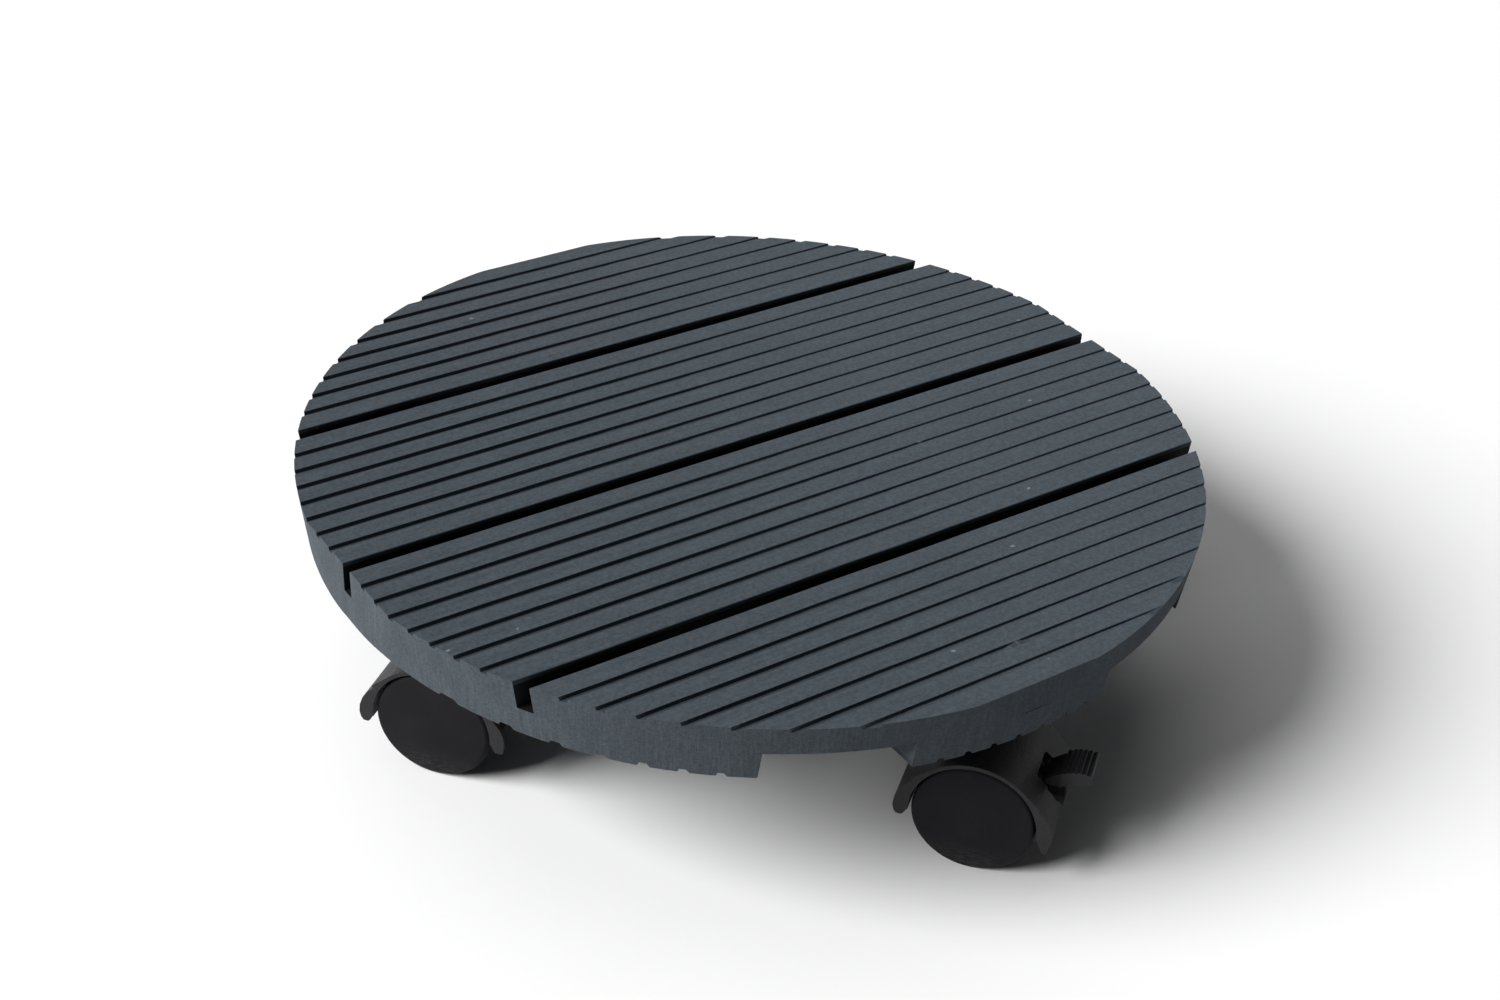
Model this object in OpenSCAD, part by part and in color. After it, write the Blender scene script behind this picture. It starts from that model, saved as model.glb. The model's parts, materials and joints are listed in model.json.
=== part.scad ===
// Round wooden plant pot caddy: a slatted deck of grooved boards on four twin-wheel swivel casters.
// The frame stands on the floor: origin under the centre of the deck, +X along the top boards,
// +Y along the cross boards, +Z up. A caster's own frame has its origin on the floor under its
// king pin, +X towards its wheels and +Y along its axle.

/* [Deck] */
// Diameter of the round deck
deck_d = 300.8; // [290:0.4:310]
// Length of the deck along the top boards, where its two ends are cut flat
deck_length = 295.6; // [292:0.4:298]
// Thickness of one board
board_t = 10; // [9:0.5:14]
// Gap between neighbouring top boards
board_gap = 4.8; // [3:0.2:6]
// Taper of the sawn rim, as the lower radius over the upper one
rim_taper = 0.983; // [0.975:0.001:1]
// Number of grooves in a board
groove_count = 7; // [5:1:7]
// Width of a groove at the surface
groove_w = 2.5; // [1.5:0.1:3.4]
// Depth of a groove
groove_depth = 1.2; // [0.6:0.1:2]
// Sideways offset of the middle cross board from the deck's centre
middle_board_x = -4.2; // [-6:0.2:6]
// Distance from the deck's centre to the middle of a side cross board
side_board_x = 116; // [112:0.5:118]

/* [Casters] */
// Diameter of a wheel
wheel_d = 38.5; // [36:0.5:40]
// Width of the hood, across both wheels
hood_w = 36; // [34:0.5:38]
// Height of a caster, from the floor to the boards
caster_h = 55; // [54:0.5:60]
// Distance from the king pin to the axle
caster_trail = 11; // [10:0.5:13]
// Distance from the deck's centre to the casters on the side boards
side_caster_r = 123.5; // [118:0.5:124]
// Distance from the deck's centre to the casters under the ends of the middle board
end_caster_r = 120.5; // [116:0.5:122]
// Sideways offset of the front caster
end_caster_x = -3.5; // [-6:0.5:6]
// Direction in which the front and left casters trail
caster_turn = -52; // [-180:1:180]

/* [Brake] */
// Width of the ribbed brake pedal
pedal_w = 12; // [10:0.5:14]
// Number of ribs on the pedal
rib_count = 6; // [4:1:7]

/* [Hidden] */
$fn = 64;

// Deck
boards = 4;
deck_r = deck_d / 2;
deck_w = boards * 70.9 + (boards - 1) * board_gap;
board_w = (deck_w - (boards - 1) * board_gap) / boards;
board_pitch = board_w + board_gap;
under_z = caster_h;
cross_top_z = under_z + board_t;
deck_top_z = cross_top_z + board_t;
groove_pitch = board_w / (groove_count + 1);
edge_round = 1;
cut = 0.01;

// Deck screws
screw_r = 1.7;
screw_head_r = 3.6;
screw_len = 17;
screw_fit = 0.03;
screw_side_x = 88;
screw_middle_dx = 27;
screw_dy = 16;
screw_reach = 139;

// Caster plate and its screws
plate_side = 38;
plate_t = 2;
plate_corner = 4;
plate_hole_r = 1.8;
plate_hole_at = 14.5;
plate_screw_r = 1.6;
plate_screw_head_r = 2.9;
plate_screw_head_t = 1.8;
plate_screw_len = 8;

// Swivel
plate_z = caster_h - plate_t;
washer_t = 1.2;
washer_z = plate_z - washer_t;
boss_r = 8;
boss_top_z = washer_z - 0.05;
pin_r = 4;
pin_fit = 0.05;
pin_head_r = 5.6;
pin_head_t = 2.2;

// Wheels and axle
wheel_r = wheel_d / 2;
wheel_face = hood_w / 2 - 0.6;
wheel_in = 3.6;
wheel_dome = 0.8;
wheel_edge = 1.6;
wheel_wall = 2.2;
wheel_rim_t = 3;
hub_r = 5;
spoke_count = 6;
axle_r = 2.5;
axle_fit = 0.05;
axle_half = 15;

// Hood, around the axle
hood_in_r = wheel_r + 0.7;
hood_out_r = hood_in_r + 1.35;
skirt_x = 24;
skirt_bulge = 1.5;
skirt_low = -5.6;
skirt_start = 45;
skirt_end = 10;
web_t = 6.2;
web_boss_r = 5.5;
web_rim_x = 16.9;
bulge_r = (pow(hood_w / 2, 2) + pow(skirt_bulge, 2)) / (2 * skirt_bulge);
counterbore_top = wheel_r + hood_in_r + 2.3;

// Brake lever, around the axle
lever_x = 8;
lever_z = 10;
lever_pin_r = 1.3;
lever_eye_r = 3.2;
lever_arm_w = 2.8;
pocket_w = 3.4;
slot_w = 4;
pedal_tip = 32.6;
pedal_root = 22.2;
rib_h = 0.9;

// Flat shapes

// A straight groove's cross-section, open upwards at height zero
function groove_points(x) = [
    [x - groove_w / 2, 0],
    [x - groove_w / 3, -groove_depth * 0.85],
    [x - groove_w / 4, -groove_depth],
    [x + groove_w / 4, -groove_depth],
    [x + groove_w / 3, -groove_depth * 0.85],
    [x + groove_w / 2, 0]];

// Cross-section of a grooved board, centred sideways, with its grooved face at height zero
module board_outline() {
    half = board_w / 2;
    top = [for (i = [1:groove_count]) each groove_points(-half + i * groove_pitch)];
    polygon(concat(
        [[-half + 0.3, -board_t], [-half, -board_t + 0.3], [-half, -edge_round],
         [-half + edge_round * 0.3, -edge_round * 0.3], [-half + edge_round, 0]],
        top,
        [[half - edge_round, 0], [half - edge_round * 0.3, -edge_round * 0.3], [half, -edge_round],
         [half, -board_t + 0.3], [half - 0.3, -board_t]]));
}

module rounded_square(side, corner) {
    for (turn = [0, 90])
        rotate(turn) square([side, side - 2 * corner], center = true);
    for (x = [-1, 1], y = [-1, 1])
        translate([x, y] * (side / 2 - corner)) circle(r = corner);
}

// Deck

// The sawn outline of the whole deck: a slightly tapered round with two flat ends
module deck_blank() {
    intersection() {
        translate([0, 0, under_z])
            cylinder(r1 = deck_r * rim_taper, r2 = deck_r, h = 2 * board_t, $fn = 180);
        translate([-deck_length / 2, -deck_w, under_z - 1])
            cube([deck_length, 2 * deck_w, 2 * board_t + 2]);
    }
}

// Deck screws enter from below: one pair at each crossing, where the rim leaves room
function screw_spots() = concat(
    [for (side = [-1, 1], row = [-1.5:1.5], dy = [-1, 1])
        [side * screw_side_x, row * board_pitch + dy * screw_dy]],
    [for (row = [-1.5:1.5], side = [-1, 1])
        [middle_board_x + side * screw_middle_dx, row * board_pitch + side * screw_dy]]);
deck_screw_spots = [for (p = screw_spots()) if (norm(p) < screw_reach) p];

module deck_screw_holes() {
    for (p = deck_screw_spots)
        translate([p.x, p.y, under_z - 1]) {
            cylinder(r = screw_r + screw_fit, h = screw_len + 1.5, $fn = 24);
            cylinder(r = screw_head_r + screw_fit, h = 1 + groove_depth, $fn = 32);
            translate([0, 0, 1 + groove_depth])
                cylinder(r1 = screw_head_r + screw_fit, r2 = screw_r + screw_fit, h = 2, $fn = 32);
        }
}

module deck_screws() {
    color("#8f8c80")
    for (p = deck_screw_spots)
        translate([p.x, p.y, under_z + 0.3])
            difference() {
                union() {
                    translate([0, 0, groove_depth - 0.3])
                        cylinder(r1 = screw_head_r, r2 = screw_r, h = 2, $fn = 32);
                    cylinder(r = screw_head_r, h = groove_depth - 0.3 + cut, $fn = 32);
                    cylinder(r = screw_r, h = screw_len - 2, $fn = 24);
                    translate([0, 0, screw_len - 2 - cut])
                        cylinder(r1 = screw_r, r2 = 0.3, h = 1.8, $fn = 24);
                }
                cross_recess(1.8, 3.6);
            }
}

// A cross recess in a screw head that faces down
module cross_recess(deep, wide) {
    for (turn = [0, 90])
        rotate(turn + 45)
            translate([-wide / 2, -0.45, -1]) cube([wide, 0.9, deep + 1]);
}

module top_board(row) {
    color("#4d545b")
    difference() {
        intersection() {
            translate([-deck_r, row * board_pitch, deck_top_z])
                rotate([90, 0, 90]) linear_extrude(deck_d) board_outline();
            deck_blank();
        }
        deck_screw_holes();
    }
}

module cross_board(x) {
    color("#4d545b")
    difference() {
        intersection() {
            translate([x, deck_r, under_z])
                rotate([-90, 0, 180]) linear_extrude(deck_d) board_outline();
            deck_blank();
        }
        deck_screw_holes();
        caster_screw_holes();
    }
}

// Casters

module place_caster(x, y, turn) {
    translate([x, y, 0]) rotate(turn) children();
}

module at_axle() {
    translate([caster_trail, 0, wheel_r]) children();
}

function plate_screw_spots() = [for (x = [-1, 1], y = [-1, 1]) [x, y] * plate_hole_at];

// The four king pins; opposite casters are turned half a turn from each other
king_pins = [[end_caster_x, -end_caster_r], [-side_caster_r, 0.6],
             [-end_caster_x, end_caster_r], [side_caster_r, -0.6]];

module caster_screw_holes() {
    for (pin = king_pins, p = plate_screw_spots())
        translate([pin.x + p.x, pin.y + p.y, under_z - 1])
            cylinder(r = plate_screw_r, h = plate_screw_len + 1, $fn = 24);
}

module caster_plate_screws() {
    color("#a9a8a2")
    for (pin = king_pins, p = plate_screw_spots())
        translate([pin.x + p.x, pin.y + p.y, plate_z])
            difference() {
                union() {
                    translate([0, 0, -plate_screw_head_t / 2])
                        cylinder(r = plate_screw_head_r, h = plate_screw_head_t / 2, $fn = 32);
                    translate([0, 0, -plate_screw_head_t])
                        cylinder(r1 = plate_screw_head_r * 0.6, r2 = plate_screw_head_r,
                                 h = plate_screw_head_t / 2 + cut, $fn = 32);
                    cylinder(r = plate_screw_r, h = plate_t + plate_screw_len - 2, $fn = 24);
                }
                translate([0, 0, -plate_screw_head_t]) cross_recess(1.2, 3);
            }
}

// Steel top plate, square to the deck whatever way its caster trails
module plate() {
    color("#b4b3ad")
    translate([0, 0, plate_z])
        difference() {
            linear_extrude(plate_t) rounded_square(plate_side, plate_corner);
            for (p = plate_screw_spots())
                translate([p.x, p.y, -1]) cylinder(r = plate_hole_r, h = plate_t + 2, $fn = 24);
            translate([0, 0, -1]) cylinder(r = pin_r, h = plate_t + 2);
        }
}

// Riveted pin: its head holds the hood up from inside
module king_pin() {
    color("#9a9993")
    translate([0, 0, counterbore_top - 0.1]) {
        cylinder(r = pin_r, h = caster_h - 0.1 - counterbore_top);
        translate([0, 0, -pin_head_t]) cylinder(r = pin_head_r, h = pin_head_t);
    }
}

module washer() {
    color("#d8d6cf")
    translate([0, 0, washer_z])
        difference() {
            cylinder(r = boss_r - 0.6, h = washer_t);
            translate([0, 0, -1]) cylinder(r = pin_r + pin_fit, h = washer_t + 2);
        }
}

// Side view of the hood around the axle: a round top whose two shoulders swell out to a vertical skirt
module hood_outline(r, x) {
    swell = [for (i = [0:8])
        let (a = skirt_start + (skirt_end - skirt_start) * i / 8)
        (r + (x - r) * pow(i / 8, 1.5)) * [cos(a), sin(a)]];
    circle(r = r, $fn = 96);
    for (side = [-1, 1])
        polygon([[0, skirt_low], [0, 0], for (p = swell) [side * p.x, p.y],
                 [side * x, 1], [side * x, skirt_low + 1.6], [side * (x - 1.2), skirt_low]]);
}

// The space for the wheels: round above the axle, straight down below it
module wheel_space() {
    circle(r = hood_in_r, $fn = 96);
    translate([-hood_in_r, -2 * hood_in_r]) square([2 * hood_in_r, 2 * hood_in_r]);
}

module along_axle(width) {
    translate([0, width / 2, 0]) rotate([90, 0, 0]) linear_extrude(width) children();
}

// The hood's outside, bulging a little in the middle of its width
module hood_solid() {
    intersection() {
        along_axle(hood_w) hood_outline(hood_out_r, skirt_x + skirt_bulge);
        for (side = [0, 180])
            rotate(side)
                translate([skirt_x + skirt_bulge - bulge_r, 0, -hood_in_r])
                    cylinder(r = bulge_r, h = 3 * hood_in_r, $fn = 360);
    }
}

// What is cut away under the skirt, seen along the trail: an arch between two pointed corners
module skirt_arch(tip_z, arch_z, corner_w) {
    half = hood_w / 2;
    polygon([[-half - 1, -30], [-half - 1, tip_z], [-half + 0.7, tip_z],
             [-half + corner_w * 0.55, arch_z - (arch_z - tip_z) * 0.35], [-half + corner_w, arch_z],
             [half - corner_w, arch_z], [half - corner_w * 0.55, arch_z - (arch_z - tip_z) * 0.35],
             [half - 0.7, tip_z], [half + 1, tip_z], [half + 1, -30]]);
}

module cut_skirt(side) {
    rotate(side < 0 ? 180 : 0)
        rotate([90, 0, 90]) linear_extrude(2 * hood_in_r) children();
}

// Window and slot through which the brake lever leaves the hood, seen along the trail
module lever_window() {
    half = pedal_w / 2 + 0.3;
    side = [[slot_w / 2, -30], [slot_w / 2, 1.6], [half - 1.6, 4.6], [half, 6.4], [half, 13.6],
            [half - 0.6, 14.2]];
    polygon(concat(side, [for (i = [len(side) - 1:-1:0]) [-side[i].x, side[i].y]]));
}

module hood(braked) {
    color("#26262a")
    difference() {
        union() {
            at_axle() {
                difference() {
                    hood_solid();
                    along_axle(hood_w + 2) wheel_space();
                    cut_skirt(-1) skirt_arch(-3.9, -1.6, 6);
                    if (braked)
                        cut_skirt(1) skirt_arch(skirt_low, -2, 5.6);
                    else
                        cut_skirt(1) skirt_arch(-3.5, 8, 2.2);
                    if (braked)
                        cut_skirt(1) lever_window();
                }
                hood_web(braked);
            }
            // Boss of the swivel
            translate([0, 0, wheel_r + hood_in_r * 0.85])
                cylinder(r = boss_r, h = boss_top_z - wheel_r - hood_in_r * 0.85);
        }
        // Room for the wheels under the boss
        at_axle()
            for (side = [-1, 1])
                rotate([90, 0, 0])
                    translate([0, 0, side * (web_t / 2 + 15) - 15]) cylinder(r = hood_in_r, h = 30);
        cylinder(r = pin_r + pin_fit, h = caster_h);
        cylinder(r = pin_head_r + 0.4, h = counterbore_top);
        at_axle() rotate([90, 0, 0]) cylinder(r = axle_r, h = hood_w, center = true);
    }
}

// Middle wall between the wheels, with the axle's boss and a pocket for the brake lever
module hood_web(braked) {
    difference() {
        along_axle(web_t)
            union() {
                intersection() {
                    circle(r = hood_in_r + 0.3, $fn = 96);
                    translate([-30, -1.6]) square([60, 40]);
                }
                circle(r = web_boss_r);
            }
        if (braked) {
            along_axle(pocket_w)
                difference() {
                    translate([lever_x - lever_eye_r - 0.6, -8]) square([30, 25]);
                    circle(r = web_boss_r);
                }
            // The pedal's broad root swings down in front of the web's rim
            translate([web_rim_x, 0, 0])
                rotate([90, 0, 90]) linear_extrude(hood_in_r) lever_window();
            rotate([90, 0, 0])
                translate([lever_x, lever_z, 0])
                    cylinder(r = lever_pin_r, h = web_t + 2, center = true, $fn = 32);
        }
    }
}

module axle() {
    color("#a3a29c")
    at_axle() rotate([90, 0, 0]) cylinder(r = axle_r, h = 2 * axle_half, center = true);
}

// Cross-section of a wheel, radius against distance from the middle of the caster
module wheel_section() {
    corner = wheel_face - wheel_edge;
    arc = [for (a = [0:15:90]) [wheel_r - wheel_edge + wheel_edge * cos(a), corner + wheel_edge * sin(a)]];
    dome = [for (i = [1:6]) let (r = (wheel_r - wheel_edge) * (1 - i / 6))
                [r, wheel_face + wheel_dome * (1 - pow(r / (wheel_r - wheel_edge), 2))]];
    back = wheel_face - wheel_wall;
    polygon(concat(
        [[wheel_r - 0.5, wheel_in], [wheel_r, wheel_in + 0.5]], arc, dome,
        [[0, wheel_face - 2], [axle_r + axle_fit, wheel_face - 2], [axle_r + axle_fit, wheel_in],
         [hub_r, wheel_in], [hub_r, back], [wheel_r - wheel_rim_t, back],
         [wheel_r - wheel_rim_t, wheel_in]]));
}

// A wheel is a cup with a closed outer face, a hub and thin spokes inside
module wheel(side) {
    color("#1d1d20")
    at_axle()
        rotate([side < 0 ? 90 : -90, 0, 0]) {
            rotate_extrude($fn = 120) wheel_section();
            for (i = [0:spoke_count - 1])
                rotate(i * 360 / spoke_count)
                    translate([hub_r - 0.3, -0.7, wheel_in + 1.5])
                        cube([wheel_r - wheel_rim_t - hub_r + 0.6, 1.4,
                              wheel_face - wheel_wall - wheel_in - 1]);
        }
}

// Brake

// The lever seen along the axle: a narrow arm from its eye to the window
module lever_arm_outline() {
    difference() {
        union() {
            translate([lever_x, lever_z]) circle(r = lever_eye_r, $fn = 48);
            polygon([[lever_x - 1, lever_z - 3], [17.6, 10.3], [19.2, 11], [18.6, 12.9], [16.6, 12.2],
                     [lever_x, lever_z + 3.1]]);
        }
        translate([lever_x, lever_z]) circle(r = lever_pin_r + 0.05, $fn = 32);
    }
}

// The pedal seen along the axle: it rises from the window and levels out under the foot
module pedal_outline() {
    polygon([[18.05, 10.5], [pedal_root + 0.7, 11.3], [25.8, 13], [31.2, 15], [pedal_tip, 16],
             [pedal_tip + 0.4, 17.1], [32.1, 17.7], [29.8, 18.3], [27, 18.1], [24.4, 17.1],
             [pedal_root, 15.6], [18.6, 12.7]]);
}

module brake_lever() {
    color("#1b1b1e")
    at_axle() {
        along_axle(lever_arm_w) lever_arm_outline();
        along_axle(pedal_w - 1.4)
            intersection() {
                pedal_outline();
                translate([0, -10]) square([pedal_root + 1.2, 50]);
            }
        along_axle(pedal_w)
            difference() {
                pedal_outline();
                translate([0, -10]) square([pedal_root + 0.8, 50]);
            }
        // Ribs across the pedal, following its rounded top
        for (i = [0:rib_count - 1]) {
            t = i / (rib_count - 1);
            x = pedal_root + 1.6 + t * (pedal_tip - pedal_root - 2.6);
            z = 18.3 - 2.2 * pow(1 - t, 2) - 0.55 * pow(t, 3);
            translate([x, 0, z])
                rotate([90, 0, 0]) cylinder(r = rib_h, h = pedal_w, center = true, $fn = 24);
        }
    }
}

module brake_pin() {
    color("#a3a29c")
    at_axle()
        rotate([90, 0, 0])
            translate([lever_x, lever_z, 0])
                cylinder(r = lever_pin_r, h = web_t - 0.2, center = true, $fn = 32);
}

// One caster: its pieces share a place, and the plate stays square to the deck
module caster_piece(i, piece) {
    pin = king_pins[i];
    turn = caster_turn + (i < 2 ? 0 : 180);
    braked = i % 2 == 0;
    if (piece == "plate") place_caster(pin.x, pin.y, 0) plate();
    if (piece == "king_pin") place_caster(pin.x, pin.y, turn) king_pin();
    if (piece == "washer") place_caster(pin.x, pin.y, turn) washer();
    if (piece == "hood") place_caster(pin.x, pin.y, turn) hood(braked);
    if (piece == "axle") place_caster(pin.x, pin.y, turn) axle();
    if (piece == "wheel_near") place_caster(pin.x, pin.y, turn) wheel(-1);
    if (piece == "wheel_far") place_caster(pin.x, pin.y, turn) wheel(1);
    if (piece == "brake_lever") place_caster(pin.x, pin.y, turn) brake_lever();
    if (piece == "brake_pin") place_caster(pin.x, pin.y, turn) brake_pin();
}

top_board(1.5);  // top_board_back
top_board(0.5);  // top_board_back_middle
top_board(-0.5);  // top_board_front_middle
top_board(-1.5);  // top_board_front
cross_board(-side_board_x);  // cross_board_left
cross_board(middle_board_x);  // cross_board_middle
cross_board(side_board_x);  // cross_board_right
deck_screws();
caster_plate_screws();
caster_piece(0, "plate");  // front_plate
caster_piece(0, "king_pin");  // front_king_pin
caster_piece(0, "washer");  // front_washer
caster_piece(0, "hood");  // front_hood
caster_piece(0, "axle");  // front_axle
caster_piece(0, "wheel_near");  // front_wheel_near
caster_piece(0, "wheel_far");  // front_wheel_far
caster_piece(0, "brake_lever");  // front_brake_lever
caster_piece(0, "brake_pin");  // front_brake_pin
caster_piece(1, "plate");  // left_plate
caster_piece(1, "king_pin");  // left_king_pin
caster_piece(1, "washer");  // left_washer
caster_piece(1, "hood");  // left_hood
caster_piece(1, "axle");  // left_axle
caster_piece(1, "wheel_near");  // left_wheel_near
caster_piece(1, "wheel_far");  // left_wheel_far
caster_piece(2, "plate");  // back_plate
caster_piece(2, "king_pin");  // back_king_pin
caster_piece(2, "washer");  // back_washer
caster_piece(2, "hood");  // back_hood
caster_piece(2, "axle");  // back_axle
caster_piece(2, "wheel_near");  // back_wheel_near
caster_piece(2, "wheel_far");  // back_wheel_far
caster_piece(2, "brake_lever");  // back_brake_lever
caster_piece(2, "brake_pin");  // back_brake_pin
caster_piece(3, "plate");  // right_plate
caster_piece(3, "king_pin");  // right_king_pin
caster_piece(3, "washer");  // right_washer
caster_piece(3, "hood");  // right_hood
caster_piece(3, "axle");  // right_axle
caster_piece(3, "wheel_near");  // right_wheel_near
caster_piece(3, "wheel_far");  // right_wheel_far
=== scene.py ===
import json
import math

import bpy
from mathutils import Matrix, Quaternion, Vector


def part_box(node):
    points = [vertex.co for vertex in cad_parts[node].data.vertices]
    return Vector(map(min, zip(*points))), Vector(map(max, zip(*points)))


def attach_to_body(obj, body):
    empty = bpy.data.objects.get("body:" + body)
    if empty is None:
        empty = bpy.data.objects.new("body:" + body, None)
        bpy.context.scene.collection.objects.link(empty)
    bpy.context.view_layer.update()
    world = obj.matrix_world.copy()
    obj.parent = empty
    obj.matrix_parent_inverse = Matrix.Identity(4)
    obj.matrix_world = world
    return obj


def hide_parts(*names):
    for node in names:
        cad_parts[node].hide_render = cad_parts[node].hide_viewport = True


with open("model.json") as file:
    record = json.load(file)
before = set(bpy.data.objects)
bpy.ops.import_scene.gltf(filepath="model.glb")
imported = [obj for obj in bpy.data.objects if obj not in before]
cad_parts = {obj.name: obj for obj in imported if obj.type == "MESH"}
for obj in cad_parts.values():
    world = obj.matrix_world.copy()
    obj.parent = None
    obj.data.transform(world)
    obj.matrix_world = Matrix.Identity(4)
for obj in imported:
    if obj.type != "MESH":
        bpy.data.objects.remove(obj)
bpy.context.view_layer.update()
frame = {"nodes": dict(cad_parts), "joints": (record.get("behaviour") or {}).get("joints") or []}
nodes = frame["nodes"]
near = 1e-5  # two places closer than this are the same, in metres


# small helpers for working in object and edit mode
def deselectAll():
    if bpy.context.object and bpy.context.object.mode != "OBJECT":
        bpy.ops.object.mode_set(mode="OBJECT")
    bpy.ops.object.select_all(action="DESELECT")


def makeActive(piece):
    deselectAll()
    piece.select_set(True)
    bpy.context.view_layer.objects.active = piece


def selectParts(piece, kind, wanted):  # kind is VERT, EDGE or FACE; wanted is asked about each one
    makeActive(piece)
    mesh = piece.data
    for parts in (mesh.vertices, mesh.edges, mesh.polygons):
        parts.foreach_set("select", [False] * len(parts))
    if kind == "VERT":
        for vertex in mesh.vertices:
            vertex.select = wanted(vertex.co)
    elif kind == "EDGE":
        for edge in mesh.edges:
            edge.select = wanted(mesh.vertices[edge.vertices[0]].co, mesh.vertices[edge.vertices[1]].co)
    else:
        for face in mesh.polygons:
            face.select = wanted(face.center, face.normal)
    bpy.context.tool_settings.mesh_select_mode = (kind == "VERT", kind == "EDGE", kind == "FACE")
    bpy.ops.object.mode_set(mode="EDIT")


def selectWhole(piece):
    makeActive(piece)
    bpy.context.tool_settings.mesh_select_mode = (True, False, False)
    bpy.ops.object.mode_set(mode="EDIT")
    bpy.ops.mesh.select_all(action="SELECT")


def bisectAll(place, normal, **settings):
    bpy.ops.mesh.select_all(action="SELECT")
    bpy.ops.mesh.bisect(plane_co=place, plane_no=normal, **settings)


def applyPlace(piece):
    makeActive(piece)
    bpy.ops.object.transform_apply(location=True, rotation=True, scale=True)


def applyModifier(piece, kind, **settings):
    makeActive(piece)
    modifier = piece.modifiers.new(kind.title(), kind)
    for name, value in settings.items():
        setattr(modifier, name, value)
    bpy.ops.object.modifier_apply(modifier=modifier.name)


def addBox(name, low, high):
    deselectAll()
    bpy.ops.mesh.primitive_cube_add(size=1, location=(low + high) / 2)
    piece = bpy.context.object
    piece.name, piece.scale = name, high - low
    applyPlace(piece)
    return piece


def smooth(piece, degrees=30):  # rounded edges shade softly and flat faces stay flat
    makeActive(piece)
    bpy.ops.object.shade_smooth_by_angle(angle=math.radians(degrees))
    applyModifier(piece, "WEIGHTED_NORMAL", keep_sharp=True)


def copyNode(node, name):  # a CAD node's shape as a free mesh, with its loose triangles joined up
    piece = bpy.data.objects.new(name, nodes[node].data.copy())
    bpy.context.scene.collection.objects.link(piece)
    piece.data.materials.clear()
    selectWhole(piece)
    bpy.ops.mesh.remove_doubles(threshold=2e-6)
    bpy.ops.mesh.customdata_custom_splitnormals_clear()
    bpy.ops.mesh.dissolve_limited(angle_limit=math.radians(1))
    bpy.ops.object.mode_set(mode="OBJECT")
    return piece


def attach(piece, body, slot, *replaced):
    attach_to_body(piece, body)
    if replaced:
        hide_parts(*replaced)


# camera, lights and floor
camera = {
    "place": (-0.3638, -0.5032, 0.4634),
    "target": (-0.0208, -0.0293, 0.0750),
    "roll": 3.68,
    "lens": 52.57,
}


def addCamera():
    bpy.ops.object.camera_add(location=camera["place"])
    eye = bpy.context.object
    aim = (Vector(camera["target"]) - eye.location).to_track_quat("-Z", "Y")
    eye.rotation_mode = "QUATERNION"
    eye.rotation_quaternion = aim @ Quaternion((0, 0, 1), math.radians(camera["roll"]))
    eye.data.lens, eye.data.sensor_width = camera["lens"], 36
    bpy.context.scene.camera = eye


lights = {  # where from, watts a square metre, how soft in degrees
    "windowLight": ((-0.957, 0.290, 0.68), 7.7, 38),
    "backLight": ((0.10, 0.70, 1.30), 0.8, 60),
}
studio = {  # how bright the surround looks, how much it lights, and how much more it mirrors
    "seen": 1.0,
    "ambient": 0.045,
    "gloss": 0.50,
    "tint": (0.97, 0.98, 1.0, 1),
}


def addLights():
    for name, (place, strength, softness) in lights.items():
        bpy.ops.object.light_add(type="SUN", location=place)
        lamp = bpy.context.object
        lamp.name, lamp.data.energy, lamp.data.angle = name, strength, math.radians(softness)
        lamp.rotation_euler = (-Vector(place)).to_track_quat("-Z", "Y").to_euler()


def addSurround():
    world = bpy.data.worlds.new("studio")
    bpy.context.scene.world = world
    world.use_nodes = True
    add, link = world.node_tree.nodes.new, world.node_tree.links.new
    sky = world.node_tree.nodes["Background"]
    sky.inputs["Color"].default_value = studio["tint"]
    ray = add("ShaderNodeLightPath")
    strength = add("ShaderNodeMapRange")
    strength.inputs["To Min"].default_value = studio["ambient"]
    strength.inputs["To Max"].default_value = studio["seen"]
    shine = add("ShaderNodeMath")
    shine.operation = "MULTIPLY_ADD"
    shine.inputs[1].default_value = studio["gloss"]
    link(ray.outputs["Is Camera Ray"], strength.inputs["Value"])
    link(ray.outputs["Is Glossy Ray"], shine.inputs[0])
    link(strength.outputs["Result"], shine.inputs[2])
    link(shine.outputs["Value"], sky.inputs["Strength"])
    bpy.context.scene.view_settings.view_transform = "Standard"


# materials
class Wire:  # one output of a material's nodes; arithmetic on it adds Math nodes
    def __init__(self, paint, socket):
        self.paint, self.socket = paint, socket

    def maths(self, operation, first, second=0.0):
        return self.paint.add("Math", {"operation": operation}, {0: first, 1: second})

    def __add__(self, other):
        return self.maths("ADD", self, other)

    def __sub__(self, other):
        return self.maths("SUBTRACT", self, other)

    def __rsub__(self, other):
        return self.maths("SUBTRACT", other, self)

    def __mul__(self, other):
        return self.maths("MULTIPLY", self, other)

    def __truediv__(self, other):
        return self.maths("DIVIDE", self, other)

    def power(self, exponent):
        return self.maths("POWER", self, exponent)

    def above(self, low, high):  # 0 below low, 1 above high, smooth between
        settings = {"interpolation_type": "SMOOTHSTEP"}
        return self.paint.add("MapRange", settings, {"Value": self, "From Min": low, "From Max": high})

    def below(self, low, high):
        return 1 - self.above(low, high)

    __radd__ = __add__
    __rmul__ = __mul__


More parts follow.
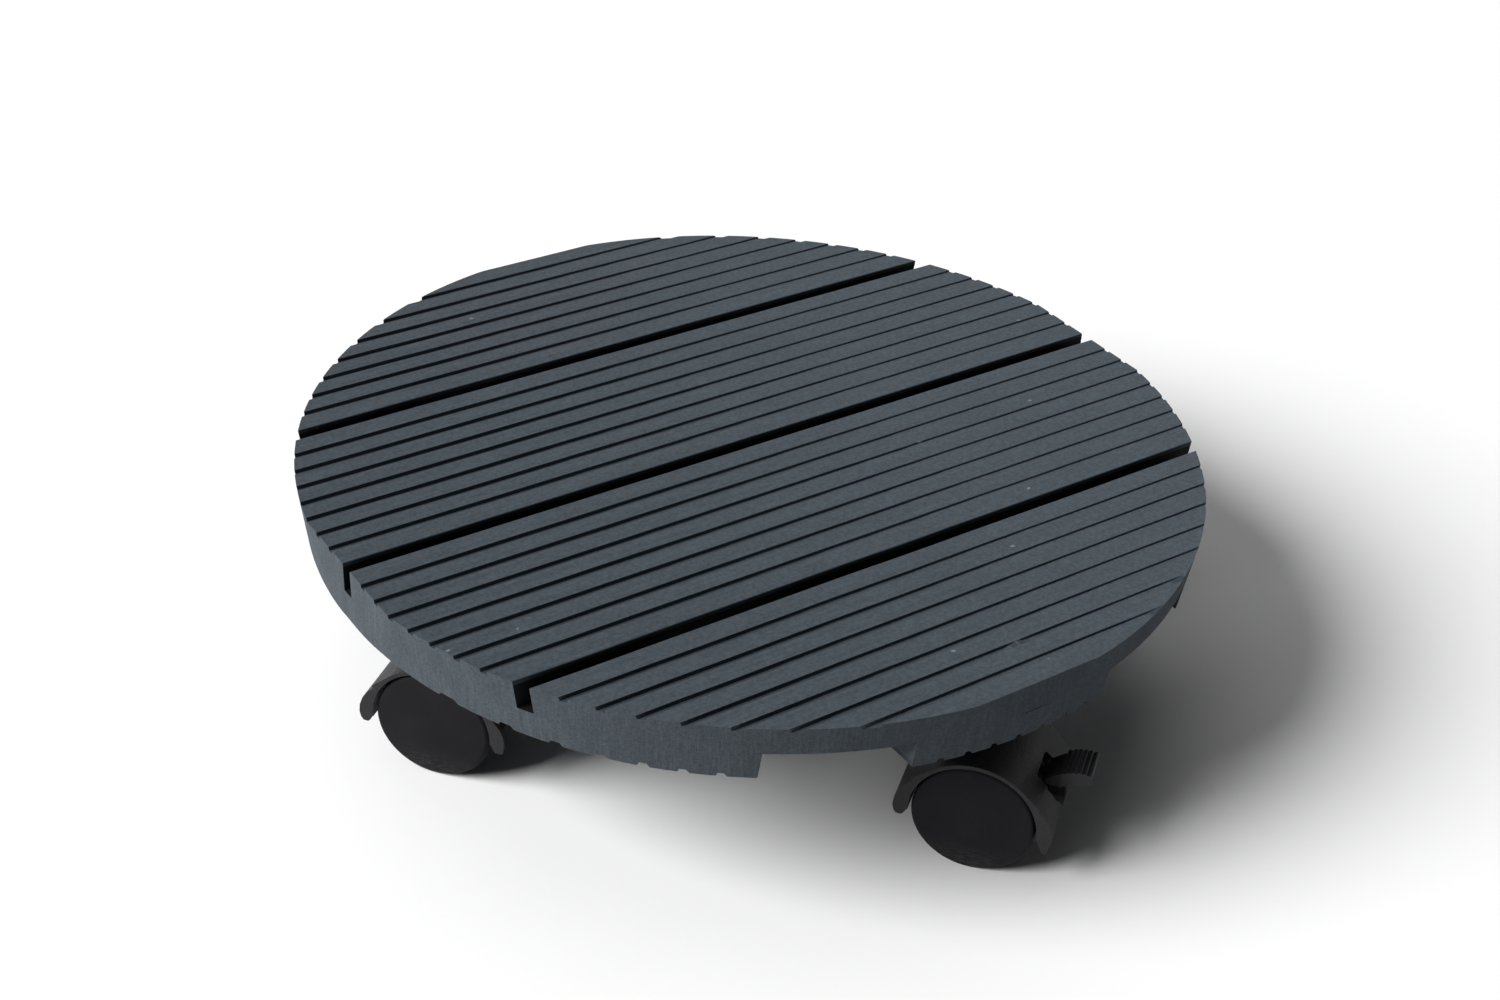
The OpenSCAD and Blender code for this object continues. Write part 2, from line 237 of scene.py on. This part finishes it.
class Paint:  # a procedural material built on one Principled shader
    def __init__(self, name, **fixed):
        self.material = bpy.data.materials.new(name)
        self.material.use_nodes = True
        self.tree = self.material.node_tree
        self.shader = self.tree.nodes["Principled BSDF"]
        for socket, value in fixed.items():
            self.shader.inputs[socket.replace("_", " ")].default_value = value

    def add(self, kind, settings=None, inputs=None, output=0):
        node = self.tree.nodes.new("ShaderNode" + kind)
        for name, value in (settings or {}).items():
            setattr(node, name, value)
        self.connect(node, inputs or {})
        return Wire(self, node.outputs[output])

    def connect(self, node, inputs):
        for name, value in inputs.items():
            if isinstance(value, Wire):
                self.tree.links.new(value.socket, node.inputs[name])
            else:
                node.inputs[name].default_value = value

    def place(self, scale=(1, 1, 1), offset=(0, 0, 0)):  # object coordinates, stretched for a pattern
        here = self.add("TexCoord", output="Object")
        return self.add("Mapping", inputs={"Vector": here, "Scale": scale, "Location": offset})

    def noise(self, where, size=1.0, detail=3, rough=0.5):  # size is in patterns a metre
        values = {"Vector": where, "Scale": size, "Detail": detail, "Roughness": rough}
        return self.add("TexNoise", inputs=values)

    def mix(self, factor, first, second):
        first, second = (c if isinstance(c, Wire) else (*c, 1) for c in (first, second))
        return self.add("Mix", {"data_type": "RGBA"}, {0: factor, 6: first, 7: second}, output=2)

    def split(self, vector):
        return [self.add("SeparateXYZ", inputs={0: vector}, output=axis) for axis in "XYZ"]

    def finish(self, colour, roughness, height, depth):  # depth is how far the bump reaches, in metres
        bump = self.add("Bump", inputs={"Height": height, "Distance": depth, "Strength": 1.0})
        self.connect(self.shader, {"Base Color": colour, "Roughness": roughness, "Normal": bump})
        return self.material


def shade(colour, factor):
    return tuple(c * factor for c in colour)


def shadeTo(paint, colour, factor):  # the same for a colour that is already a wire
    return paint.add("VectorMath", {"operation": "SCALE"}, {"Vector": colour, "Scale": factor})


# the wood's own stain colours (face, sawn, warm, fleck) and painted shade: a dark colour for the grooves and
# a near-black one for the gaps between the boards
stainAndShade = {
    "face": (0.039, 0.048, 0.056),
    "sawn": (0.045, 0.054, 0.062),
    "warm": (0.060, 0.053, 0.048),
    "groove": (0.022, 0.028, 0.035),
    "gap": (0.004, 0.005, 0.006),
    "fleck": (0.30, 0.31, 0.31),
}


def stainedWood(name, along, faceZ, grooveDepth):  # along is the axis of the grain, faceZ the grooved face; besides the stain it paints shade into the grooves and the gaps between boards
    paint = Paint(name, Specular_IOR_Level=0.06)
    top = along == "X"
    stretch = (0.035, 1, 1) if top else (1, 0.035, 1)
    grain = paint.noise(paint.place(stretch), 900, 5, 0.62)
    streak = paint.noise(paint.place(stretch, (0.3, 0.3, 0)), 160, 3, 0.55)
    cloud = paint.noise(paint.place(), 22, 4, 0.6)
    smudge = paint.noise(paint.place((1, 1, 1), (0.7, 0.1, 0)), 9, 2, 0.5)
    grit = paint.noise(paint.place((0.6, 0.6, 1)), 1500, 3, 0.6)
    x, y, z = paint.split(paint.add("TexCoord", output="Object"))
    lengthways, across, upness = paint.split(paint.add("TexCoord", output="Normal"))
    radius = (x * x + y * y).power(0.5)
    outward = (lengthways * x + across * y) / radius
    rim = radius.above(0.1448, 0.1458) * outward.above(0.70, 0.85)
    around = x.maths("ARCTAN2", y, x) * 0.15
    ring = paint.add("CombineXYZ", inputs={0: around, 1: radius * 0.2, 2: z * 0.10})
    sawLines = paint.noise(ring, 900, 4, 0.68)
    sawPatches = paint.noise(paint.add("CombineXYZ", inputs={0: around, 2: z * 0.5}), 110, 3, 0.55)
    below = z * -1 + faceZ if top else z - faceZ
    # painted shade: the grooves' floors and walls darkened, on the top boards only towards the left end
    grooveShadeMask = below.above(grooveDepth * 0.25, grooveDepth * 0.8) * (1 - rim) * below.below(0.0018, 0.0022)
    # painted shade: a thin dark line along the grooves' lips
    lipShadeMask = below.above(0.00006, 0.00014) * below.below(0.00045, 0.00065) * (1 - rim)
    if top:
        grooveShadeMask = grooveShadeMask * (1 - x.above(-0.08, 0.04))
        # painted shade: the top boards' side walls below the lips, in the gaps, made near black
        gapShadeMask = (across * across).above(0.3, 0.7) * (1 - rim) * below.above(0.0013, 0.0016)
    else:
        # painted shade: the cross boards' upward faces under the top boards, made near black
        gapShadeMask = upness.above(0.5, 0.8)

    colour = paint.mix(grain.above(0.30, 0.72), shade(stainAndShade["face"], 0.86), shade(stainAndShade["face"], 1.12))
    colour = paint.mix(cloud.above(0.35, 0.70) * 0.40, colour, shade(stainAndShade["face"], 0.82))
    colour = paint.mix(x.above(-0.12, 0.14) * 0.5, colour, shade(stainAndShade["face"], 1.28))
    colour = paint.mix(streak.above(0.52, 0.75) * 0.30, colour, shade(stainAndShade["face"], 1.20))
    colour = paint.mix(smudge.above(0.56, 0.74) * grain.above(0.4, 0.6) * 0.22, colour, stainAndShade["warm"])
    sawn = paint.mix(sawLines.above(0.30, 0.72), shade(stainAndShade["sawn"], 0.86), shade(stainAndShade["sawn"], 1.12))
    sawn = paint.mix(sawPatches.above(0.36, 0.68) * 0.6, sawn, shade(stainAndShade["sawn"], 0.80))
    colour = paint.mix(rim, colour, sawn)
    colour = paint.mix(grit.above(0.34, 0.66), shadeTo(paint, colour, 0.86), shadeTo(paint, colour, 1.16))
    # painted shade in the grooves
    colour = paint.mix(grooveShadeMask * 0.6, colour, stainAndShade["groove"])
    # painted shade along the grooves' lips
    colour = paint.mix(lipShadeMask * 0.7, colour, shade(stainAndShade["groove"], 0.8))
    # painted shade in the gaps between the boards
    colour = paint.mix(gapShadeMask, colour, stainAndShade["gap"])
    fleck = paint.noise(paint.place((1, 1, 1), (0.2, 0.5, 0.4)), 300, 0, 0.5).above(0.905, 0.915)
    colour = paint.mix(fleck * 0.3, colour, stainAndShade["fleck"])

    roughness = 0.60 + grain * 0.12 + rim * 0.12 - streak * 0.06
    sawMarks = sawLines * rim * 0.9 + sawPatches * rim * 0.5
    height = grain * (1 - rim) * 0.6 + grit * 0.25 + sawMarks + cloud * 0.5
    return paint.finish(colour, roughness, height, 0.00022)


def mouldedPlastic(name, colour, gloss, shine, spark, sparkDepth, dust=0.0):
    paint = Paint(name, Specular_IOR_Level=shine)
    pits = paint.noise(paint.place(), spark, 2, 0.6)
    swirl = paint.noise(paint.place(), 60, 3, 0.5)
    scuff = paint.noise(paint.place((1, 1, 6)), 320, 4, 0.7)
    tint = paint.mix(swirl.above(0.35, 0.7), shade(colour, 0.86), shade(colour, 1.14))
    tint = paint.mix(scuff.above(0.60, 0.78) * 0.35, tint, shade(colour, 1.9))
    if dust:
        low = paint.split(paint.add("TexCoord", output="Object"))[2].below(0.001, 0.012)
        tint = paint.mix(low * scuff.above(0.40, 0.62) * dust, tint, (0.13, 0.12, 0.11))
    roughness = gloss + pits * 0.12 + scuff.above(0.55, 0.8) * 0.14
    return paint.finish(tint, roughness, pits + scuff * 0.2, sparkDepth)


def platedSteel(name, colour, gloss):
    paint = Paint(name, Metallic=1.0)
    crystal = paint.add("TexVoronoi", inputs={"Vector": paint.place(), "Scale": 260})
    haze = paint.noise(paint.place(), 45, 4, 0.6)
    scratch = paint.noise(paint.place((1, 0.04, 1)), 1500, 2, 0.5)
    tint = paint.mix(haze.above(0.35, 0.7), shade(colour, 0.78), colour)
    tint = paint.mix(crystal * 0.35, tint, shade(colour, 0.88))
    roughness = gloss + haze * 0.18 + scratch.above(0.58, 0.7) * 0.12
    return paint.finish(tint, roughness, scratch * 0.5 + haze * 0.4, 0.00004)


ground = {"size": 8, "dark": (0.61, 0.61, 0.61), "light": (0.65, 0.65, 0.65)}


def floorPaint():
    paint = Paint("studioFloor")
    cloud = paint.noise(paint.place(), 6, 3, 0.5)
    grit = paint.noise(paint.place(), 900, 2, 0.5)
    colour = paint.mix(cloud, ground["dark"], ground["light"])
    return paint.finish(colour, 0.62 + cloud * 0.08, grit, 0.00002)


def addFloor():
    deselectAll()
    bpy.ops.mesh.primitive_plane_add(size=ground["size"])
    floor = bpy.context.object
    floor.name = "studioFloor"
    floor.data.materials.append(floorPaint())


print("camera, lights and floor")
addCamera()
addLights()
addSurround()
addFloor()


# boards
deck = {
    "radius": 0.1504,
    "taper": 0.983,  # the lower radius over the upper one
    "halfLength": 0.1478,
    "rimCorners": 240,
    "overLength": 0.004,  # what a board has to spare at each end before it is sawn round
    "grooves": 7,
    "grooveWidth": 0.00238,
    "grooveFloor": 0.84,  # the floor's share of the groove's width
    "grooveDepth": 0.00125,
    "passes": 12,  # cuts that a groove is sunk in
    "deepTo": -0.07,  # grooves are at their full depth up to here
    "fade": 0.12,  # and lose depth over this length
    "shallowEnd": 0.52,  # to this share of it
    "longEdge": 0.0005,
    "lipRound": 0.00030,
    "slice": 0.004,
    "wander": 0.00030,  # sideways waviness
    "wanderLength": 0.035,
    "dip": 0.000045,  # waviness of the face
    "dipLength": 0.05,
    "screwHole": 0.0031,
    "screwHoleDepth": 0.003,
}

filled = {  # where a groove of the front board is closed: groove, from, to, and how softly
    "knot": (2, 0.0030, 0.0098, 0.0024),
    "secondEnd": (1, 0.0520, 0.2000, 0.0060),
    "thirdEnd": (2, 0.0690, 0.2000, 0.0070),
}


def grooveShare(index, x, board):  # how much of its full depth a groove has at x
    if not board.startswith("top"):
        return 1.0
    lost = max(0.0, min(1.0, (x - deck["deepTo"]) / deck["fade"]))
    share = 1 - (1 - deck["shallowEnd"]) * lost
    if board == "top_board_front":
        for groove, start, stop, soft in filled.values():
            if groove == index:
                inside = min((x - start) / soft, (stop - x) / soft) + 0.5
                share = min(share, 1 - max(0.0, min(1.0, inside)))
    return share


def cutBoard(name, low, high, board):  # a grooved length, still square at its ends, grooves up
    piece = addBox(name, low, high)
    width, middle, top = high.y - low.y, (high.y + low.y) / 2, high.z
    pitch = width / (deck["grooves"] + 1)
    centres = [low.y + pitch * (i + 1) for i in range(deck["grooves"])]
    half = deck["grooveWidth"] / 2
    floorHalf = half * deck["grooveFloor"]
    selectWhole(piece)
    for centre in centres:  # lines where the grooves' lips and floors will be
        for offset in (-half, -floorHalf, floorHalf, half):
            bisectAll((0, centre + offset, top), (0, 1, 0))
    slices = int((high.x - low.x) / deck["slice"])
    for i in range(1, slices):  # and lines across the board, so that depth can change along it
        bisectAll((low.x + (high.x - low.x) * i / slices, middle, top), (1, 0, 0))
    bpy.ops.object.mode_set(mode="OBJECT")

    def runsAlongTop(a, b):
        return abs(a.y - b.y) < near and all(abs(end.z - top) < near for end in (a, b))

    def isLip(a, b):
        return runsAlongTop(a, b) and any(abs(abs(a.y - centre) - half) < near for centre in centres)

    def isLongEdge(a, b):
        return runsAlongTop(a, b) and min(abs(a.y - low.y), abs(a.y - high.y)) < near

    def isDeeper(level):  # whether a floor point goes down past this share of the depth
        def wanted(co):
            index = min(range(len(centres)), key=lambda i: abs(co.y - centres[i]))
            onFloor = co.z > middleZ and abs(co.y - centres[index]) < floorHalf + near
            return onFloor and grooveShare(index + 1, co.x, board) > level
        return wanted

    passes, middleZ = deck["passes"], (low.z + high.z) / 2
    for step in range(passes):
        selectParts(piece, "VERT", isDeeper((step + 0.5) / passes))
        bpy.ops.transform.translate(value=(0, 0, -deck["grooveDepth"] / passes))
        bpy.ops.object.mode_set(mode="OBJECT")
    selectParts(piece, "EDGE", isLip)
    bpy.ops.mesh.bevel(offset=deck["lipRound"], segments=2, affect="EDGES", clamp_overlap=True)
    selectParts(piece, "EDGE", isLongEdge)
    bpy.ops.mesh.bevel(offset=deck["longEdge"], segments=3, affect="EDGES", clamp_overlap=True)
    bpy.ops.object.mode_set(mode="OBJECT")
    return piece


def wander(piece, direction, strength, size, middle=0.5):  # the slight waviness of a planed board
    cloud = bpy.data.textures.new(piece.name + direction, "CLOUDS")
    cloud.noise_scale = size
    applyModifier(piece, "DISPLACE", texture=cloud, texture_coords="LOCAL", direction=direction,
                  strength=strength, mid_level=middle)


def sawBlank():  # the round, slightly tapered outline that all the boards are sawn to
    deselectAll()
    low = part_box("cross_board_left")[0].z
    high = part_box("top_board_back")[1].z
    bpy.ops.mesh.primitive_cone_add(vertices=deck["rimCorners"], depth=high - low,
                                    radius1=deck["radius"] * deck["taper"], radius2=deck["radius"],
                                    location=(0, 0, (low + high) / 2))
    blank = bpy.context.object
    applyPlace(blank)
    selectWhole(blank)
    for side in (-1, 1):
        bisectAll((side * deck["halfLength"], 0, 0), (side, 0, 0), clear_outer=True, use_fill=True)
    bpy.ops.object.mode_set(mode="OBJECT")
    return blank


def screwHoles():  # round holes where the deck screws' heads sit, as one cutter
    screws = copyNode("deck_screws", "screwHoles")
    selectWhole(screws)
    bpy.ops.mesh.separate(type="LOOSE")
    bpy.ops.object.mode_set(mode="OBJECT")
    loose = list(bpy.context.selected_objects)
    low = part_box("cross_board_left")[0].z
    holes = []
    for screw in loose:
        middle = sum((Vector(corner) for corner in screw.bound_box), Vector()) / 8
        deselectAll()
        bpy.ops.mesh.primitive_cylinder_add(vertices=32, radius=deck["screwHole"],
                                            depth=2 * deck["screwHoleDepth"],
                                            location=(middle.x, middle.y, low))
        holes.append(bpy.context.object)
    for screw in loose:
        bpy.data.objects.remove(screw)
    makeActive(holes[0])
    for hole in holes:
        hole.select_set(True)
    bpy.ops.object.join()
    cutter = bpy.context.object
    applyPlace(cutter)
    return cutter


def cutWith(piece, tool, operation):
    applyModifier(piece, "BOOLEAN", operation=operation, object=tool, solver="EXACT")


def makeBoards():
    blank, holes = sawBlank(), screwHoles()
    reach = deck["radius"] + deck["overLength"]
    wood = {
        "top": stainedWood("deckStain", "X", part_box("top_board_back")[1].z, deck["grooveDepth"]),
        "cross": stainedWood("crossBoardStain", "Y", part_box("cross_board_left")[0].z, deck["grooveDepth"]),
    }
    for node in sorted(n for n in nodes if "board" in n):
        low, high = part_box(node)
        layer = node.split("_")[0]
        if layer == "top":
            corners = (-reach, low.y, low.z), (reach, high.y, high.z)
        else:  # a cross board is cut lying like a top board
            corners = (-reach, low.x, -high.z), (reach, high.x, -low.z)
        piece = cutBoard(node + "_plank", Vector(corners[0]), Vector(corners[1]), node)
        wander(piece, "Y", deck["wander"], deck["wanderLength"])
        wander(piece, "Z", deck["dip"], deck["dipLength"], 1.0)
        if layer == "cross":  # and then turned over and crosswise
            piece.rotation_euler = (math.pi, 0, math.pi / 2)
            applyPlace(piece)
        cutWith(piece, blank, "INTERSECT")
        if layer == "cross":
            cutWith(piece, holes, "DIFFERENCE")
        smooth(piece, 35)
        piece.data.materials.clear()
        piece.data.materials.append(wood[layer])
        attach(piece, "deck", "stained_wood", node)
        print("  ", node, len(piece.data.polygons), "faces")
    bpy.data.objects.remove(blank)
    bpy.data.objects.remove(holes)


print("boards")
makeBoards()


# casters
plastic = {
    "hood": mouldedPlastic("hoodPlastic", (0.008, 0.008, 0.009), 0.40, 0.22, 1900, 0.00022),
    "wheel": mouldedPlastic("wheelPlastic", (0.0065, 0.0065, 0.0080), 0.55, 0.08, 1500, 0.00003, 0.12),
    "lever": mouldedPlastic("leverPlastic", (0.007, 0.007, 0.008), 0.32, 0.22, 1200, 0.00003),
}
zinc = platedSteel("zincPlate", (0.62, 0.61, 0.58), 0.28)
screwSteel = platedSteel("screwSteel", (0.50, 0.48, 0.44), 0.34)

skirt = {  # side view of the hood's skirts, in millimetres from the axle: a blunt crescent, a pointed tusk
    "blunt": ((-19.6, 9.9), (-21.6, 8.0), (-23.4, 5.2), (-24.5, 2.0), (-24.7, -0.8),
              (-24.2, -2.8), (-23.2, -4.1), (-22.2, -4.3), (-21.1, -3.2), (-20.2, -1.5)),
    "pointed": ((20.3, -0.9), (21.0, -2.4), (22.0, -4.4), (22.9, -5.6), (23.6, -5.0), (24.4, -2.4),
                (24.8, 0.8), (24.4, 3.6), (23.2, 6.2), (21.4, 8.4), (19.6, 10.0)),
    "hub": ((-14, -1.5), (-14, -12), (14, -12), (14, -0.9)),  # room round the axle's boss
    "clear": (30, 40),  # half length and height of the rest, well outside the hood
    "wide": 40,
}


def skirtShape(turn, place):  # a block with the hood's side view, for trimming the skirts to crescents
    x, z = skirt["clear"]
    outline = [(-x, z), *skirt["blunt"], *skirt["hub"], *skirt["pointed"], (x, z)]
    points = [Vector((x, -skirt["wide"] / 2, z)) / 1000 for x, z in outline]
    deselectAll()
    bpy.ops.mesh.primitive_plane_add(size=0.001)
    block = bpy.context.object
    selectWhole(block)
    bpy.ops.mesh.merge(type="CENTER")
    bpy.ops.transform.translate(value=points[0])
    for before, after in zip(points, points[1:]):
        bpy.ops.mesh.extrude_region_move(TRANSFORM_OT_translate={"value": after - before})
    bpy.ops.mesh.select_all(action="SELECT")
    bpy.ops.mesh.edge_face_add()
    bpy.ops.mesh.extrude_region_move(TRANSFORM_OT_translate={"value": (0, skirt["wide"] / 1000, 0)})
    bpy.ops.mesh.select_all(action="SELECT")
    bpy.ops.mesh.normals_make_consistent(inside=False)
    bpy.ops.object.mode_set(mode="OBJECT")
    block.rotation_euler.z, block.location = turn, place
    applyPlace(block)
    return block


def casterPlace(side):  # the axle's middle and the way the caster trails
    joints = {joint["name"]: Vector(joint["pos_m"]) for joint in frame["joints"]}
    axle = joints[side + "_wheel_near_spin"]
    trail = axle - joints[side + "_swivel"]
    return math.atan2(trail.y, trail.x), axle


softened = {  # how far each kind of piece has its edges rounded, the body it rides and its finish
    "hood": (0.00035, "{}_caster", "hood_plastic", plastic["hood"]),
    "brake_lever": (0.00030, "{}_brake", "lever_plastic", plastic["lever"]),
    "plate": (0.00025, "deck", "zinc_steel", zinc),
}


def softenedPiece(node, side, kind):  # the moulded or pressed shape with its sharp edges rounded
    width, body, slot, finish = softened[kind]
    piece = copyNode(node, node + "_rounded")
    if kind == "hood":
        shape = skirtShape(*casterPlace(side))
        cutWith(piece, shape, "INTERSECT")
        bpy.data.objects.remove(shape)
    applyModifier(piece, "BEVEL", width=width, segments=2, limit_method="ANGLE",
                  angle_limit=math.radians(32), miter_outer="MITER_ARC", use_clamp_overlap=True)
    smooth(piece, 40)
    piece.data.materials.append(finish)
    attach(piece, body.format(side), slot, node)


def paintTheRest():  # wheels, axles, pins, washers and screws keep their shape and get their finish
    for name, node in nodes.items():
        if node.hide_render:
            continue
        finish = screwSteel if "screws" in name else plastic["wheel"] if "wheel" in name else zinc
        node.data.materials.clear()
        node.data.materials.append(finish)


print("casters")
for name in sorted(nodes):
    side, _, kind = name.partition("_")
    if kind in softened:
        softenedPiece(name, side, kind)

print("wheels and fixings")
paintTheRest()
